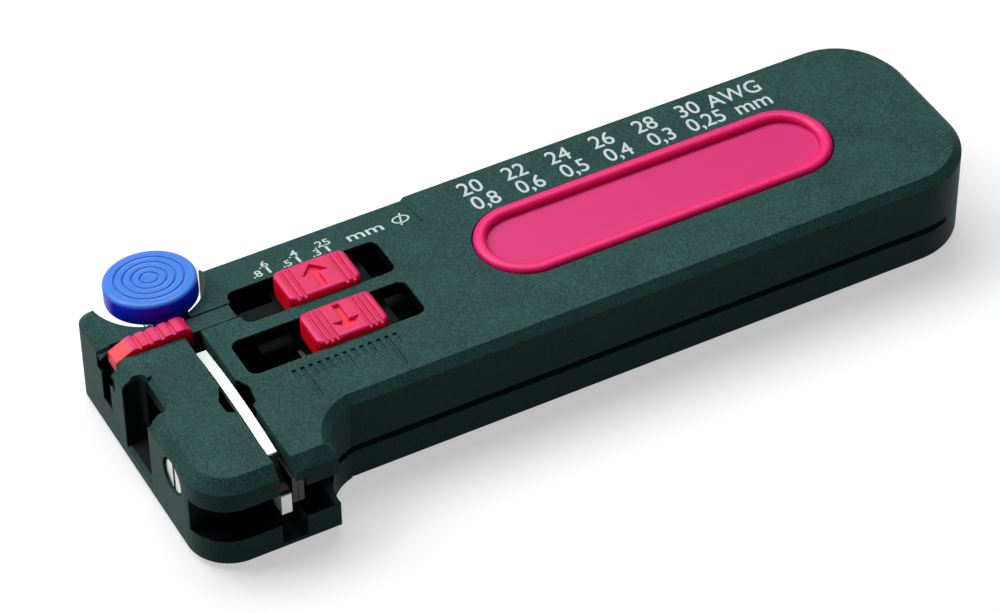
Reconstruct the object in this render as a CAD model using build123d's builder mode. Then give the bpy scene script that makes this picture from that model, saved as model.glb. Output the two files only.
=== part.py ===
"""Micro precision wire stripper: two flat shells, a separate nose, a pressed blade lever and two slides.

The frame is millimetres, +X from the nose to the tail, +Y to the button side and +Z up.
The origin is on the underside, 50 mm behind the front face and on the handle's centre line.
"""

import os

from build123d import *

os.makedirs("parts", exist_ok=True)

# Outer form
front_x = -50.0
tail_x = 50.4
body_height = 12.0
handle_half_width = 13.6
head_side_y = -19.4
shoulder_x = -35.6
shoulder_flare = 1.4
finger_radius = 5.3
head_corner_radius = 5.0
ear_corner_radius = 2.0
tail_corner_radius = 8.5
head_bevel = 1.35
handle_bevel = 1.0
underside_bevel = 0.7
band_edge_y = 7.8
band_step = 0.3
band_drop = 1.1
band_start_x = -34.5
band_end_x = -10.2
band_facet = 1.5

# Shells
parting_z = 4.75
groove_height = 0.9
groove_depth = 0.8
roof_z = 10.2
floor_z = 1.6
cavity_front_x = -38.0
cavity_tail_x = 48.2
cavity_half_width = 11.6
recess_wall = 1.3
dowel_places_y = (-13.5, 4.5)
dowel_z = 2.3
dowel_radius = 0.8
post_radius = 2.4
post_places = [(-12.0, -8.9), (-12.0, 8.9), (43.0, -6.5), (43.0, 6.5)]
screw_radius = 1.1
screw_head_radius = 2.0

# Nose seam and the slot that the blade lever swings in
seam_x = -41.25
lever_slot_x = -39.3
lever_front_x = -41.0
lever_back_x = -39.8
pivot_y = -11.5
pivot_z = 8.4
pivot_radius = 1.25
pivot_clearance = 0.06
pivot_head_radius = 2.15
insert_radius = 1.9

# Wire line, from the scoop in the front face to the length stop
wire_y = -2.4
wire_z = 6.4
scoop_y = (-5.8, 0.75)
scoop_back_x = -47.4
scoop_corner = 0.9
pocket_back_x = -44.2
pocket_y = (-5.2, 0.2)
pocket_z = (4.3, 9.6)
guide_bore_radius = 1.0
guide_radius = 1.8
blade_thickness = 0.6
blade_half_width = 3.0
notch_half_width = 0.9
notch_depth = 0.6
blade_gap = 1.7
rivet_places_y = (-4.4, -0.4)
rivet_z = 9.3
rivet_radius = 0.5

# Button and the round recess that it drops into
button_x = -41.4
button_y = 12.05
button_top_z = 14.0
button_radius = 5.2
button_thickness = 2.7
button_tilt = -6.5
recess_centre = (-41.6, 13.2)
recess_radius = 6.6
hub_bottom_z = 7.2
hub_half_width = 2.1
hub_front_y = 9.3
hub_back_y = 14.0
pin_y = 11.7
pin_z = 8.4
pin_radius = 0.7
ring_radii = (3.85, 2.9, 1.95, 1.0)
seat_height = 0.5
spring_radius = 1.35
spring_wire = 0.36
spring_turns = 5

# Slides
slide_bottom_z = 8.6
slide_top_z = 10.1
stop_slot_x = (-37.56, -16.52)
stop_slot_y = (-5.28, 0.45)
size_slot_x = (-34.6, -16.33)
size_slot_y = (2.24, 7.77)
slot_corner = 1.1
stop_knob_x = (-29.5, -20.9)
size_knob_x = (-29.1, -20.4)
knob_gap = 0.12
knob_top_z = 12.8
arrow_shaft = 0.4
arrow_head = 1.6
rib_half_width = 0.18
ramp_y = (3.85, 6.05)
flange_y = (2.9, 7.3)
key_y = (4.3, 6.3)
key_slot_z = 4.6
track_gap = 0.15
ramp_front_x = -49.2
ramp_back_x = -40.1
ramp_top_z = 12.9
tongue_back_x = -34.9
setting_pitch = 3.6
setting_rise = 0.3
lowest_setting_z = 8.9
window_corners = [
    (-42.3, -7.2),
    (-41.4, -5.2),
    (-39.2, -4.9),
    (-38.4, -6.6),
    (-38.8, -9.0),
    (-40.6, -9.9),
    (-42.2, -9.0),
]
window_floor_z = 6.2
bed_bottom_z = 7.2
bed_top_z = 8.4
bed_x = (-33.6, -14.6)
bed_y = (-9.4, 11.2)
bed_screw_places = [(-25.0, -7.8), (-17.0, 9.9)]
bed_screw_radius = 0.7
bed_screw_head_radius = 1.3
stop_arm_y = (-4.3, -0.5)
stop_arm_z = 4.9
detent_width = 1.6

# Side cutting channel
channel_depth_y = -15.3
channel_low_z = 3.95
channel_high_z = 8.35
cutter_x = (-39.5, -38.15)

# Length scale beside the stop slide
scale_zero_x = -32.3
scale_start_y = -6.6
tick_width = 0.45
tick_depth = 0.22

# Grip inlay
inlay_x = 14.73
inlay_half_span = 16.5
inlay_radius = 5.72
inlay_gap = 0.16
inlay_rim = 1.5
inlay_rim_z = 12.5
inlay_floor_z = 11.6
inlay_seat_z = 10.9


def box(x_span, y_span, z_span, mode=Mode.ADD):
    """A block given by its two limits along each axis."""
    middle = [(low + high) / 2 for low, high in (x_span, y_span, z_span)]
    size = [high - low for low, high in (x_span, y_span, z_span)]
    with Locations(tuple(middle)):
        return Box(*size, mode=mode)


def rod_along_x(x_span, y, z, radius, mode=Mode.ADD):
    """A round rod or hole whose axis runs along X."""
    with BuildSketch(Plane.YZ.offset(x_span[0])) as section:
        with Locations((y, z)):
            Circle(radius)
    extrude(section.sketch, amount=x_span[1] - x_span[0], mode=mode)


def rods_along_z(places, z_span, radius, mode=Mode.ADD):
    """Upright round rods or holes, one at each place."""
    with BuildSketch(Plane.XY.offset(z_span[0])) as section:
        with Locations(*places):
            Circle(radius)
    extrude(section.sketch, amount=z_span[1] - z_span[0], mode=mode)


def head_blank():
    """The broad head with its bevelled front and near side."""
    inner_x = shoulder_x + finger_radius
    with BuildPart() as head:
        with BuildSketch() as plan:
            with BuildLine():
                Polyline(
                    (front_x, head_side_y),
                    (inner_x, head_side_y),
                    (inner_x, handle_half_width),
                    (front_x, handle_half_width),
                    close=True,
                )
            make_face()
            fillet(plan.vertices().sort_by_distance((front_x, head_side_y))[0], head_corner_radius)
            fillet(plan.vertices().sort_by_distance((front_x, handle_half_width))[0], ear_corner_radius)
        extrude(amount=body_height)
        outer = head.edges().filter_by_position(Axis.X, front_x - 1, inner_x - 1)
        top = outer.group_by(Axis.Z)[-1].filter_by_position(Axis.Y, head_side_y - 1, handle_half_width - 0.1)
        chamfer(top, head_bevel)
        outer = head.edges().filter_by_position(Axis.X, front_x - 1, inner_x - 1)
        chamfer(outer.group_by(Axis.Z)[0], underside_bevel)
    return head.part


def handle_blank():
    """The handle with round tail corners and light bevels."""
    start_x = shoulder_x - 1
    with BuildPart() as handle:
        with BuildSketch() as plan:
            with BuildLine():
                Polyline(
                    (start_x, -handle_half_width),
                    (tail_x, -handle_half_width),
                    (tail_x, handle_half_width),
                    (start_x, handle_half_width),
                    close=True,
                )
            make_face()
            fillet(plan.vertices().group_by(Axis.X)[-1], tail_corner_radius)
        extrude(amount=body_height)
        outer = handle.edges().filter_by_position(Axis.X, start_x + 1, tail_x + 1)
        chamfer(outer.group_by(Axis.Z)[-1], handle_bevel)
        outer = handle.edges().filter_by_position(Axis.X, start_x + 1, tail_x + 1)
        chamfer(outer.group_by(Axis.Z)[0], underside_bevel)
    return handle.part


def hollow_plan(z):
    """The plan of the finger hollow between head and handle, at a height."""
    with BuildSketch(Plane.XY.offset(z)) as plan:
        with BuildLine():
            Polyline(
                (shoulder_x, -handle_half_width),
                (shoulder_x + shoulder_flare, head_side_y - 1),
                (shoulder_x + finger_radius + 2, head_side_y - 1),
                (shoulder_x + finger_radius + 2, -handle_half_width),
                close=True,
            )
        make_face()
        fillet(plan.vertices().sort_by_distance((shoulder_x, -handle_half_width, z))[0], finger_radius)
    return plan.sketch


def body_blank():
    """Head and handle together, with the finger hollow and the sloping scale band."""
    with BuildPart() as body:
        add(handle_blank())
        add(head_blank())
        extrude(hollow_plan(0), amount=body_height, mode=Mode.SUBTRACT)
        extrude(hollow_plan(body_height - handle_bevel), amount=handle_bevel + 0.1, taper=-45, mode=Mode.SUBTRACT)
        widened = offset(hollow_plan(0), amount=underside_bevel, mode=Mode.PRIVATE)
        extrude(widened, amount=underside_bevel, taper=45, mode=Mode.SUBTRACT)
        outside_y = handle_half_width + 1
        inner_z = body_height - band_step
        outside_z = inner_z - band_drop * (outside_y - band_edge_y) / (handle_half_width - band_edge_y)
        with BuildSketch(Plane.YZ.offset(band_start_x)):
            with BuildLine():
                Polyline(
                    (band_edge_y, inner_z),
                    (outside_y, outside_z),
                    (outside_y, body_height + 1),
                    (band_edge_y, body_height + 1),
                    close=True,
                )
            make_face()
        extrude(amount=band_end_x - band_start_x, mode=Mode.SUBTRACT)
        for end_x, way in ((band_start_x, -1), (band_end_x, 1)):
            with BuildSketch(Plane.YZ.offset(end_x)) as wide_end:
                with BuildLine():
                    Polyline(
                        (band_edge_y, body_height),
                        (outside_y, outside_z),
                        (outside_y, body_height),
                        close=True,
                    )
                make_face()
            with BuildSketch(Plane.YZ.offset(end_x + way * band_facet)) as narrow_end:
                with BuildLine():
                    Polyline(
                        (outside_y - 0.1, body_height),
                        (outside_y, body_height - 0.03),
                        (outside_y, body_height),
                        close=True,
                    )
                make_face()
            loft([wide_end.sketch, narrow_end.sketch], mode=Mode.SUBTRACT)
    return body.part


def cut_button_recess():
    """Open the round recess that the button drops into."""
    rods_along_z([recess_centre], (floor_z, body_height + 1), recess_radius, Mode.SUBTRACT)


def cut_ramp_track(x_span):
    """Open the track of the diameter slide: a narrow slot for the ramp over a wider one for the flange."""
    rib = (ramp_y[0] - track_gap, ramp_y[1] + track_gap)
    flange = (flange_y[0] - track_gap, flange_y[1] + track_gap)
    box(x_span, rib, (slide_top_z, body_height + 1), Mode.SUBTRACT)
    box(x_span, flange, (slide_bottom_z - track_gap, roof_z), Mode.SUBTRACT)


def cut_window():
    """Open the small rounded window across the lever slot."""
    with BuildSketch(Plane.XY.offset(window_floor_z)) as window:
        with BuildLine():
            Polyline(*window_corners, close=True)
        make_face()
        fillet(window.vertices(), 0.7)
    extrude(window.sketch, amount=body_height, mode=Mode.SUBTRACT)


def cut_side_channel():
    """Open the cutting channel along the near side of the head."""
    box(
        (front_x - 1, shoulder_x + 2),
        (head_side_y - 1, channel_depth_y),
        (channel_low_z, channel_high_z),
        Mode.SUBTRACT,
    )


def cut_parting_groove():
    """Set the parting line of the two shells back from the handle's outer faces."""
    low = parting_z - groove_height / 2
    with BuildSketch(Plane.XY.offset(low)) as ring:
        with Locations(((tail_x + shoulder_x) / 2, 0)):
            Rectangle(tail_x - shoulder_x + 2, 2 * handle_half_width + 2)
        with BuildLine():
            Polyline(
                (shoulder_x - 2, -handle_half_width + groove_depth),
                (tail_x - groove_depth, -handle_half_width + groove_depth),
                (tail_x - groove_depth, handle_half_width - groove_depth),
                (shoulder_x - 2, handle_half_width - groove_depth),
                close=True,
            )
        make_face(mode=Mode.SUBTRACT)
    extrude(ring.sketch, amount=groove_height, mode=Mode.SUBTRACT)


def cavity_plan():
    """The plan of the hollow inside the handle."""
    with BuildSketch() as plan:
        with BuildLine():
            Polyline(
                (cavity_front_x, -cavity_half_width),
                (cavity_tail_x, -cavity_half_width),
                (cavity_tail_x, cavity_half_width),
                (cavity_front_x, cavity_half_width),
                close=True,
            )
        make_face()
        fillet(plan.vertices().group_by(Axis.X)[-1], tail_corner_radius - 1.7)
    return plan.sketch


def nose_block():
    """The nose carries the wire scoop and guide, the ramp's track and the pivot screw."""
    with BuildPart() as nose:
        add(body_blank())
        box((seam_x, tail_x + 1), (head_side_y - 1, 20), (-1, body_height + 1), Mode.SUBTRACT)
        cut_button_recess()
        cut_side_channel()
        cut_ramp_track((front_x - 1, seam_x + 1))
        key_slot = (key_y[0] - track_gap, key_y[1] + track_gap)
        box((front_x - 1, seam_x), key_slot, (key_slot_z, body_height), Mode.SUBTRACT)
        with BuildSketch(Plane.YZ.offset(front_x - 0.01)):
            with BuildLine():
                Polyline(
                    (flange_y[0] - track_gap, roof_z),
                    (flange_y[1] + track_gap, roof_z),
                    (flange_y[1] + track_gap, body_height + 1),
                    (flange_y[0] - track_gap, body_height + 1),
                    close=True,
                )
            make_face()
        extrude(amount=1.5, taper=40, mode=Mode.SUBTRACT)
        cut_window()
        with BuildSketch(Plane.XZ.offset(-scoop_y[0])):
            with BuildLine():
                Polyline(
                    (front_x - 1, 1.9),
                    (front_x, 2.2),
                    (scoop_back_x + 1, wire_z - 1.4),
                    (scoop_back_x + 1, body_height + 1),
                    (front_x - 1, body_height + 1),
                    close=True,
                )
            make_face()
        scoop_block = extrude(amount=scoop_y[0] - scoop_y[1], mode=Mode.PRIVATE)
        with BuildSketch() as scoop_plan:
            with BuildLine():
                Polyline(
                    (front_x - 1, scoop_y[0]),
                    (scoop_back_x, scoop_y[0]),
                    (scoop_back_x, scoop_y[1]),
                    (front_x - 1, scoop_y[1]),
                    close=True,
                )
            make_face()
            fillet(scoop_plan.vertices().group_by(Axis.X)[-1], scoop_corner)
        scoop_round = extrude(amount=body_height + 1, mode=Mode.PRIVATE)
        add(scoop_block & scoop_round, mode=Mode.SUBTRACT)
        with BuildSketch(Plane.XZ.offset(-scoop_y[0] - scoop_corner)):
            with BuildLine():
                Polyline(
                    (scoop_back_x - 0.1, body_height - 0.75),
                    (scoop_back_x + 0.75, body_height + 0.1),
                    (scoop_back_x - 0.1, body_height + 0.1),
                    close=True,
                )
            make_face()
        extrude(amount=scoop_y[0] - scoop_y[1] + 2 * scoop_corner, mode=Mode.SUBTRACT)
        box((scoop_back_x - 0.5, pocket_back_x), pocket_y, pocket_z, Mode.SUBTRACT)
        with BuildSketch(Plane.YZ.offset(front_x - 1)):
            with BuildLine():
                Polyline(
                    (handle_half_width - head_bevel, body_height),
                    (handle_half_width, body_height - head_bevel),
                    (handle_half_width + 1, body_height - head_bevel),
                    (handle_half_width + 1, body_height + 1),
                    (handle_half_width - head_bevel, body_height + 1),
                    close=True,
                )
            make_face()
        extrude(amount=seam_x - front_x + 1, mode=Mode.SUBTRACT)
        rod_along_x((pocket_back_x - 1, seam_x), wire_y, wire_z, guide_radius, Mode.SUBTRACT)
        rod_along_x((front_x - 1, front_x + 1.9), pivot_y, pivot_z, pivot_head_radius + 0.1, Mode.SUBTRACT)
        rod_along_x((front_x, seam_x), pivot_y, pivot_z, pivot_radius, Mode.SUBTRACT)
        for dowel_y in dowel_places_y:
            rod_along_x((seam_x - 3.0, seam_x), dowel_y, dowel_z, dowel_radius, Mode.SUBTRACT)
    nose.part.label = "nose_block"
    export_step(nose.part, "parts/nose_block.step")


def upper_housing():
    """The top shell, with both slide slots, the lever slot, the scale and the inlay seat."""
    with BuildPart() as shell:
        add(body_blank())
        box((front_x - 1, seam_x), (head_side_y - 1, 20), (-1, body_height + 1), Mode.SUBTRACT)
        box((seam_x, tail_x + 1), (head_side_y - 1, 20), (-1, parting_z), Mode.SUBTRACT)
        cut_button_recess()
        cut_side_channel()
        cut_parting_groove()
        with BuildSketch(Plane.XY.offset(parting_z)):
            add(cavity_plan())
        extrude(amount=roof_z - parting_z, mode=Mode.SUBTRACT)
        with BuildSketch(Plane.XY.offset(parting_z)):
            with Locations(recess_centre):
                Circle(recess_radius + recess_wall)
            Rectangle(200, 2 * cavity_half_width, mode=Mode.INTERSECT)
            with Locations(recess_centre):
                Circle(recess_radius, mode=Mode.SUBTRACT)
            with Locations(((front_x + cavity_front_x - 1) / 2, 0)):
                Rectangle(cavity_front_x - 1 - front_x, 60, mode=Mode.SUBTRACT)
        extrude(amount=roof_z - parting_z)
        box((cavity_front_x - 0.5, -34.5), (-cavity_half_width - 1, -8.8), (parting_z, roof_z))
        rods_along_z(post_places, (parting_z, roof_z), post_radius)
        rods_along_z(bed_screw_places, (bed_top_z, roof_z), bed_screw_head_radius)
        rods_along_z(post_places, (parting_z, roof_z - 0.8), screw_radius, Mode.SUBTRACT)
        rods_along_z(bed_screw_places, (bed_top_z, roof_z), bed_screw_radius, Mode.SUBTRACT)
        box((seam_x - 1, lever_slot_x), (head_side_y - 1, 9), (0, body_height + 1), Mode.SUBTRACT)
        box(
            (seam_x, lever_slot_x + 0.55),
            (wire_y - blade_half_width - 0.5, wire_y + blade_half_width + 0.5),
            (parting_z - 1, roof_z),
            Mode.SUBTRACT,
        )
        box(
            (lever_slot_x - 0.1, cutter_x[1]),
            (head_side_y - 1, channel_depth_y + 0.8),
            (5.6, 9.5),
            Mode.SUBTRACT,
        )
        rod_along_x((seam_x, cavity_front_x + 1), wire_y, wire_z, 1.2, Mode.SUBTRACT)
        rod_along_x((seam_x, -34.9), pivot_y, pivot_z, insert_radius, Mode.SUBTRACT)
        cut_ramp_track((seam_x, size_slot_x[0] + 0.5))
        cut_window()
        with BuildSketch(Plane.XY.offset(roof_z - 1)) as slots:
            for x_span, y_span in ((stop_slot_x, stop_slot_y), (size_slot_x, size_slot_y)):
                with Locations((sum(x_span) / 2, sum(y_span) / 2)):
                    Rectangle(x_span[1] - x_span[0], y_span[1] - y_span[0])
            fillet(slots.vertices(), slot_corner)
        extrude(amount=body_height, mode=Mode.SUBTRACT)
        for mark in range(-1, 12):
            length = 4.8 if mark % 10 == 0 else 3.2 if mark % 5 == 0 else 1.7
            tick_x = scale_zero_x + mark
            box(
                (tick_x - tick_width / 2, tick_x + tick_width / 2),
                (scale_start_y - length, scale_start_y),
                (body_height - tick_depth, body_height + 1),
                Mode.SUBTRACT,
            )
        with BuildSketch(Plane.XY.offset(inlay_seat_z)):
            with Locations((inlay_x, 0)):
                SlotOverall(2 * (inlay_half_span + inlay_radius + inlay_gap), 2 * (inlay_radius + inlay_gap))
        extrude(amount=body_height, mode=Mode.SUBTRACT)
        with BuildSketch(Plane.XY.offset(roof_z - 0.5)):
            with Locations((inlay_x, 0)):
                SlotOverall(2 * (inlay_half_span + 4.6), 2 * 4.6)
        extrude(amount=body_height, mode=Mode.SUBTRACT)
    shell.part.label = "upper_housing"
    export_step(shell.part, "parts/upper_housing.step")


def lower_housing():
    """The bottom shell behind the nose, with screw posts and the lower blade's seat."""
    with BuildPart() as shell:
        add(body_blank())
        box((front_x - 1, seam_x), (head_side_y - 1, 20), (-1, body_height + 1), Mode.SUBTRACT)
        box((seam_x, tail_x + 1), (head_side_y - 1, 20), (parting_z, body_height + 1), Mode.SUBTRACT)
        cut_button_recess()
        cut_side_channel()
        cut_parting_groove()
        with BuildSketch(Plane.XY.offset(floor_z)):
            add(cavity_plan())
        extrude(amount=parting_z - floor_z, mode=Mode.SUBTRACT)
        with BuildSketch(Plane.XY.offset(floor_z)):
            with Locations(recess_centre):
                Circle(recess_radius + recess_wall)
            Rectangle(200, 2 * cavity_half_width, mode=Mode.INTERSECT)
            with Locations(recess_centre):
                Circle(recess_radius, mode=Mode.SUBTRACT)
            with Locations(((front_x + cavity_front_x - 1) / 2, 0)):
                Rectangle(cavity_front_x - 1 - front_x, 60, mode=Mode.SUBTRACT)
        extrude(amount=parting_z - floor_z)
        rods_along_z(post_places, (floor_z, parting_z), post_radius)
        rods_along_z(post_places, (0, parting_z), screw_radius, Mode.SUBTRACT)
        rods_along_z(post_places, (-1, floor_z), screw_head_radius + 0.1, Mode.SUBTRACT)
        box((seam_x, lever_slot_x), (-1.0, 9), (3.0, parting_z), Mode.SUBTRACT)
        box((seam_x, -38.3), (head_side_y - 1, channel_depth_y), (1.3, parting_z), Mode.SUBTRACT)
        box(
            (lever_back_x, lever_back_x + blade_thickness),
            (wire_y - blade_half_width, wire_y + blade_half_width),
            (2.0, parting_z),
            Mode.SUBTRACT,
        )
        for dowel_y in dowel_places_y:
            rod_along_x((seam_x, seam_x + 2.6), dowel_y, dowel_z, dowel_radius, Mode.SUBTRACT)
    shell.part.label = "lower_housing"
    export_step(shell.part, "parts/lower_housing.step")


def grip_inlay():
    """The oval inlay in the handle: a round rim, a recessed floor and four snap legs."""
    with BuildPart() as inlay:
        with BuildSketch(Plane.XY.offset(inlay_seat_z)):
            with Locations((inlay_x, 0)):
                SlotOverall(2 * (inlay_half_span + inlay_radius), 2 * inlay_radius)
        extrude(amount=inlay_rim_z - inlay_seat_z)
        inner_radius = inlay_radius - inlay_rim
        with BuildSketch(Plane.XY.offset(inlay_floor_z)):
            with Locations((inlay_x, 0)):
                SlotOverall(2 * (inlay_half_span + inner_radius), 2 * inner_radius)
        extrude(amount=inlay_rim_z - inlay_floor_z, mode=Mode.SUBTRACT)
        fillet(inlay.edges().group_by(Axis.Z)[-1], 0.6)
        for side in (-1, 1):
            for leg_x in (inlay_x - 11, inlay_x + 11):
                legs_y = sorted((side * 4.5, side * 3.5))
                box((leg_x - 1.5, leg_x + 1.5), legs_y, (roof_z - 1.4, inlay_seat_z))
    inlay.part.label = "grip_inlay"
    export_step(inlay.part, "parts/grip_inlay.step")


def housing_screws():
    """Four screws that join the shells from below."""
    with BuildPart() as screws:
        rods_along_z(post_places, (0.4, floor_z), screw_head_radius)
        rods_along_z(post_places, (floor_z, roof_z - 1.2), screw_radius)
        for x, y in post_places:
            box((x - 1.4, x + 1.4), (y - 0.25, y + 0.25), (0, 1.0), Mode.SUBTRACT)
            box((x - 0.25, x + 0.25), (y - 1.4, y + 1.4), (0, 1.0), Mode.SUBTRACT)
    screws.part.label = "housing_screws"
    export_step(screws.part, "parts/housing_screws.step")


def nose_dowels():
    """Two steel dowels that locate the nose on the lower shell."""
    with BuildPart() as dowels:
        for dowel_y in dowel_places_y:
            rod_along_x((seam_x - 2.8, seam_x + 2.4), dowel_y, dowel_z, dowel_radius)
    dowels.part.label = "nose_dowels"
    export_step(dowels.part, "parts/nose_dowels.step")


def wire_guide():
    """The bush in the nose that leads the wire to the blades."""
    with BuildPart() as guide:
        rod_along_x((pocket_back_x, seam_x - 0.1), wire_y, wire_z, guide_radius)
        rod_along_x((front_x, seam_x), wire_y, wire_z, guide_bore_radius, Mode.SUBTRACT)
        chamfer(guide.edges().filter_by(GeomType.CIRCLE).group_by(Axis.X)[0].sort_by(SortBy.RADIUS)[0], 0.35)
    guide.part.label = "wire_guide"
    export_step(guide.part, "parts/wire_guide.step")


def pivot_screw():
    """The slotted screw that holds the nose and carries the blade lever."""
    head_x = (front_x + 0.25, front_x + 1.9)
    with BuildPart() as screw:
        rod_along_x(head_x, pivot_y, pivot_z, pivot_head_radius)
        chamfer(screw.edges().group_by(Axis.X)[0], 0.25)
        rod_along_x((head_x[1], -35.4), pivot_y, pivot_z, pivot_radius)
        slot_y = (pivot_y - 0.3, pivot_y + 0.3)
        slot_z = (pivot_z - pivot_head_radius, pivot_z + pivot_head_radius)
        box((head_x[0], head_x[0] + 0.7), slot_y, slot_z, Mode.SUBTRACT)
    screw.part.label = "pivot_screw"
    export_step(screw.part, "parts/pivot_screw.step")


def pivot_insert():
    """The brass insert in the upper shell that the pivot screw turns into."""
    with BuildPart() as insert:
        rod_along_x((lever_slot_x + 0.15, -35.1), pivot_y, pivot_z, insert_radius)
        rod_along_x((seam_x, -34), pivot_y, pivot_z, pivot_radius, Mode.SUBTRACT)
    insert.part.label = "pivot_insert"
    export_step(insert.part, "parts/pivot_insert.step")


def pivot_washer():
    """The thin washer between the nose and the blade lever."""
    with BuildPart() as washer:
        rod_along_x((seam_x, lever_front_x - 0.05), pivot_y, pivot_z, 2.5)
        rod_along_x((seam_x - 1, lever_front_x), pivot_y, pivot_z, pivot_radius, Mode.SUBTRACT)
    washer.part.label = "pivot_washer"
    export_step(washer.part, "parts/pivot_washer.step")


def blade_lever():
    """The flat steel lever: its arched top edge shows in the slot, its far arm dips under the ramp."""
    with BuildPart() as lever:
        with BuildSketch(Plane.YZ.offset(lever_front_x)):
            with BuildLine():
                ThreePointArc((-15.9, 11.1), (-7.3, 11.75), (1.4, 11.3))
                Polyline(
                    (1.4, 11.3),
                    (1.9, 10.3),
                    (2.1, 8.2),
                    (8.2, 8.2),
                    (9.6, 9.7),
                    (hub_back_y, 9.7),
                    (hub_back_y, hub_bottom_z),
                    (9.6, hub_bottom_z),
                    (8.2, 6.2),
                    (2.2, 5.9),
                    (0.9, 7.7),
                    (-6.2, 7.7),
                    (-8.6, 6.0),
                    (-11.5, 5.2),
                    (-15.2, 5.6),
                    (-17.4, 5.0),
                    (-19.0, 5.0),
                    (-19.0, 7.6),
                    (-18.6, 8.0),
                    (-17.3, 8.0),
                    (-16.4, 9.2),
                    (-15.9, 11.1),
                )
            make_face()
        extrude(amount=lever_back_x - lever_front_x)
        rod_along_x((seam_x, lever_slot_x), pivot_y, pivot_z, pivot_radius + pivot_clearance, Mode.SUBTRACT)
        rod_along_x((seam_x, lever_slot_x), pin_y, pin_z, pin_radius, Mode.SUBTRACT)
        for rivet_y in rivet_places_y:
            rod_along_x((seam_x, lever_slot_x), rivet_y, rivet_z, rivet_radius, Mode.SUBTRACT)
    lever.part.label = "blade_lever"
    export_step(lever.part, "parts/blade_lever.step")


def blade(x_span, base_z, edge_z):
    """A flat blade with a V notch on the wire line, from its base to its cutting edge."""
    toward_base = 1 if base_z > edge_z else -1
    with BuildSketch(Plane.YZ.offset(x_span[0])) as outline:
        with BuildLine():
            Polyline(
                (wire_y - blade_half_width, base_z),
                (wire_y - blade_half_width, edge_z),
                (wire_y - notch_half_width, edge_z),
                (wire_y, edge_z + toward_base * notch_depth),
                (wire_y + notch_half_width, edge_z),
                (wire_y + blade_half_width, edge_z),
                (wire_y + blade_half_width, base_z),
                close=True,
            )
        make_face()
    extrude(outline.sketch, amount=x_span[1] - x_span[0])


def upper_blade():
    """The moving stripping blade on the back of the lever."""
    x_span = (lever_back_x, lever_back_x + blade_thickness)
    with BuildPart() as cutter:
        blade(x_span, 10.0, wire_z + blade_gap / 2)
        for rivet_y in rivet_places_y:
            rod_along_x(x_span, rivet_y, rivet_z, rivet_radius, Mode.SUBTRACT)
    cutter.part.label = "upper_blade"
    export_step(cutter.part, "parts/upper_blade.step")


def blade_rivets():
    """Two rivets that hold the upper blade on the lever."""
    with BuildPart() as rivets:
        for rivet_y in rivet_places_y:
            rod_along_x((lever_front_x, lever_back_x + blade_thickness), rivet_y, rivet_z, rivet_radius)
    rivets.part.label = "blade_rivets"
    export_step(rivets.part, "parts/blade_rivets.step")


def lower_blade():
    """The fixed stripping blade in the lower shell."""
    with BuildPart() as cutter:
        blade((lever_back_x, lever_back_x + blade_thickness), 2.0, wire_z - blade_gap / 2)
    cutter.part.label = "lower_blade"
    export_step(cutter.part, "parts/lower_blade.step")


def cutter_plates():
    """Two fixed plates beside the lever's tip, which shear a wire laid in the side channel."""
    middle = sum(cutter_x) / 2
    with BuildPart() as plates:
        for x_span in ((cutter_x[0], middle - 0.03), (middle + 0.03, cutter_x[1])):
            box(x_span, (-18.6, channel_depth_y + 0.8), (5.7, 9.4))
    plates.part.label = "cutter_plates"
    export_step(plates.part, "parts/cutter_plates.step")


def push_button():
    """The round button with ring grooves, tilted outward, and its forked hub."""
    top_plane = Plane(
        origin=(button_x, button_y, button_top_z),
        x_dir=(1, 0, 0),
        z_dir=Vector(0, 0, 1).rotate(Axis.X, button_tilt),
    )
    with BuildPart() as button:
        with BuildSketch(top_plane):
            Circle(button_radius)
        extrude(amount=-button_thickness)
        fillet(button.edges().filter_by(GeomType.CIRCLE), 0.45)
        with BuildSketch(top_plane):
            for ring_radius in ring_radii:
                Circle(ring_radius + 0.12)
                Circle(ring_radius - 0.12, mode=Mode.SUBTRACT)
        extrude(amount=-0.22, mode=Mode.SUBTRACT)
        middle_x = (lever_front_x + lever_back_x) / 2
        hub_x = (middle_x - hub_half_width, middle_x + hub_half_width)
        box(hub_x, (hub_front_y, hub_back_y), (hub_bottom_z, button_top_z - button_thickness + 0.3))
        box((lever_front_x, lever_back_x), (hub_front_y, hub_back_y), (hub_bottom_z, 9.7), Mode.SUBTRACT)
        rod_along_x(hub_x, pin_y, pin_z, pin_radius, Mode.SUBTRACT)
    button.part.label = "push_button"
    export_step(button.part, "parts/push_button.step")


def button_pin():
    """The cross pin that holds the button's fork on the lever."""
    middle_x = (lever_front_x + lever_back_x) / 2
    with BuildPart() as pin:
        rod_along_x((middle_x - hub_half_width, middle_x + hub_half_width), pin_y, pin_z, pin_radius)
    pin.part.label = "button_pin"
    export_step(pin.part, "parts/button_pin.step")


def spring_seat():
    """The cup that centres the return spring on the recess floor."""
    middle_x = (lever_front_x + lever_back_x) / 2
    with BuildPart() as seat:
        rods_along_z([(middle_x, button_y)], (floor_z, floor_z + seat_height), 2.2)
        rods_along_z([(middle_x, button_y)], (floor_z + seat_height, floor_z + seat_height + 0.5), 0.8)
    seat.part.label = "spring_seat"
    export_step(seat.part, "parts/spring_seat.step")


def return_spring():
    """The coil spring that lifts the button."""
    middle_x = (lever_front_x + lever_back_x) / 2
    low = floor_z + seat_height + spring_wire / 2 + 0.02
    high = hub_bottom_z - spring_wire / 2 - 0.02
    with BuildPart() as spring:
        with BuildLine(Plane((middle_x, button_y, low))) as coil:
            Helix(pitch=(high - low) / spring_turns, height=high - low, radius=spring_radius)
        with BuildSketch(Plane(origin=coil.line @ 0, z_dir=coil.line % 0)):
            Circle(spring_wire / 2)
        sweep(is_frenet=True)
    spring.part.label = "return_spring"
    export_step(spring.part, "parts/return_spring.step")


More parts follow.
